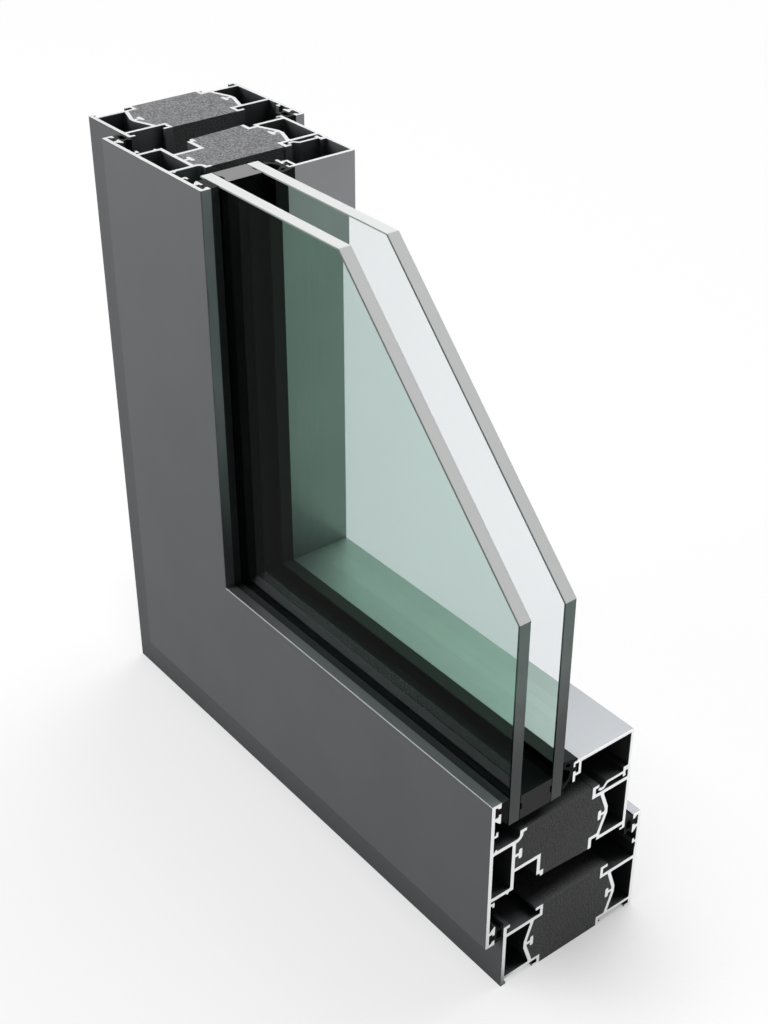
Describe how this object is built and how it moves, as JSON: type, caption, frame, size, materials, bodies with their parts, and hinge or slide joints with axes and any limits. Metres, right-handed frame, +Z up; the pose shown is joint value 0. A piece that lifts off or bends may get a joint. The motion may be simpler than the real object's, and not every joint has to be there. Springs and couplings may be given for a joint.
{
  "type": "window corner sample",
  "caption": "Cut corner sample of an outward-opening aluminium window: mitred frame and sash shells on foam cores, double glazing, bead and gaskets.",
  "frame": {"origin": "centre of the bounding box in plan, at the underside of the frame's sill", "axes": "+X along the sill from the corner to its cut end, +Y from the outdoor face towards the room, +Z up the jamb"},
  "size_m": [0.2842, 0.085, 0.2908],
  "materials": {
    "painted_aluminium": "satin dark grey powder coat, bright bare metal where sawn",
    "foam_core": "fine-grained grey insulating foam",
    "clear_glass": "clear float glass with a slight green body colour and ground edges",
    "spacer": "matt dark grey warm-edge spacer and edge seal",
    "sealant": "black butyl",
    "setting_block": "matt black plastic",
    "gasket": "matt black rubber",
    "cleat": "plain mill aluminium"
  },
  "bodies": {
    "root": {"frame_sill_outer": "painted_aluminium", "frame_jamb_outer": "painted_aluminium", "frame_sill_inner": "painted_aluminium", "frame_jamb_inner": "painted_aluminium", "frame_sill_core": "foam_core", "frame_jamb_core": "foam_core", "sash_rail_outer": "painted_aluminium", "sash_stile_outer": "painted_aluminium", "sash_rail_inner": "painted_aluminium", "sash_stile_inner": "painted_aluminium", "sash_rail_core": "foam_core", "sash_stile_core": "foam_core", "bead_rail": "painted_aluminium", "bead_stile": "painted_aluminium", "outer_pane": "clear_glass", "inner_pane": "clear_glass", "spacer_rail": "spacer", "spacer_stile": "spacer", "outer_sealant_rail": "sealant", "outer_sealant_stile": "sealant", "inner_sealant_rail": "sealant", "inner_sealant_stile": "sealant", "setting_block_rail": "setting_block", "setting_block_stile": "setting_block", "outer_gasket_rail": "gasket", "outer_gasket_stile": "gasket", "inner_gasket_rail": "gasket", "inner_gasket_stile": "gasket", "face_seal_rail": "gasket", "face_seal_stile": "gasket", "room_seal_sill": "gasket", "room_seal_jamb": "gasket", "frame_cleat_outer": "cleat", "frame_cleat_inner": "cleat", "sash_cleat_outer": "cleat", "sash_cleat_inner": "cleat"}
  },
  "joints": []
}
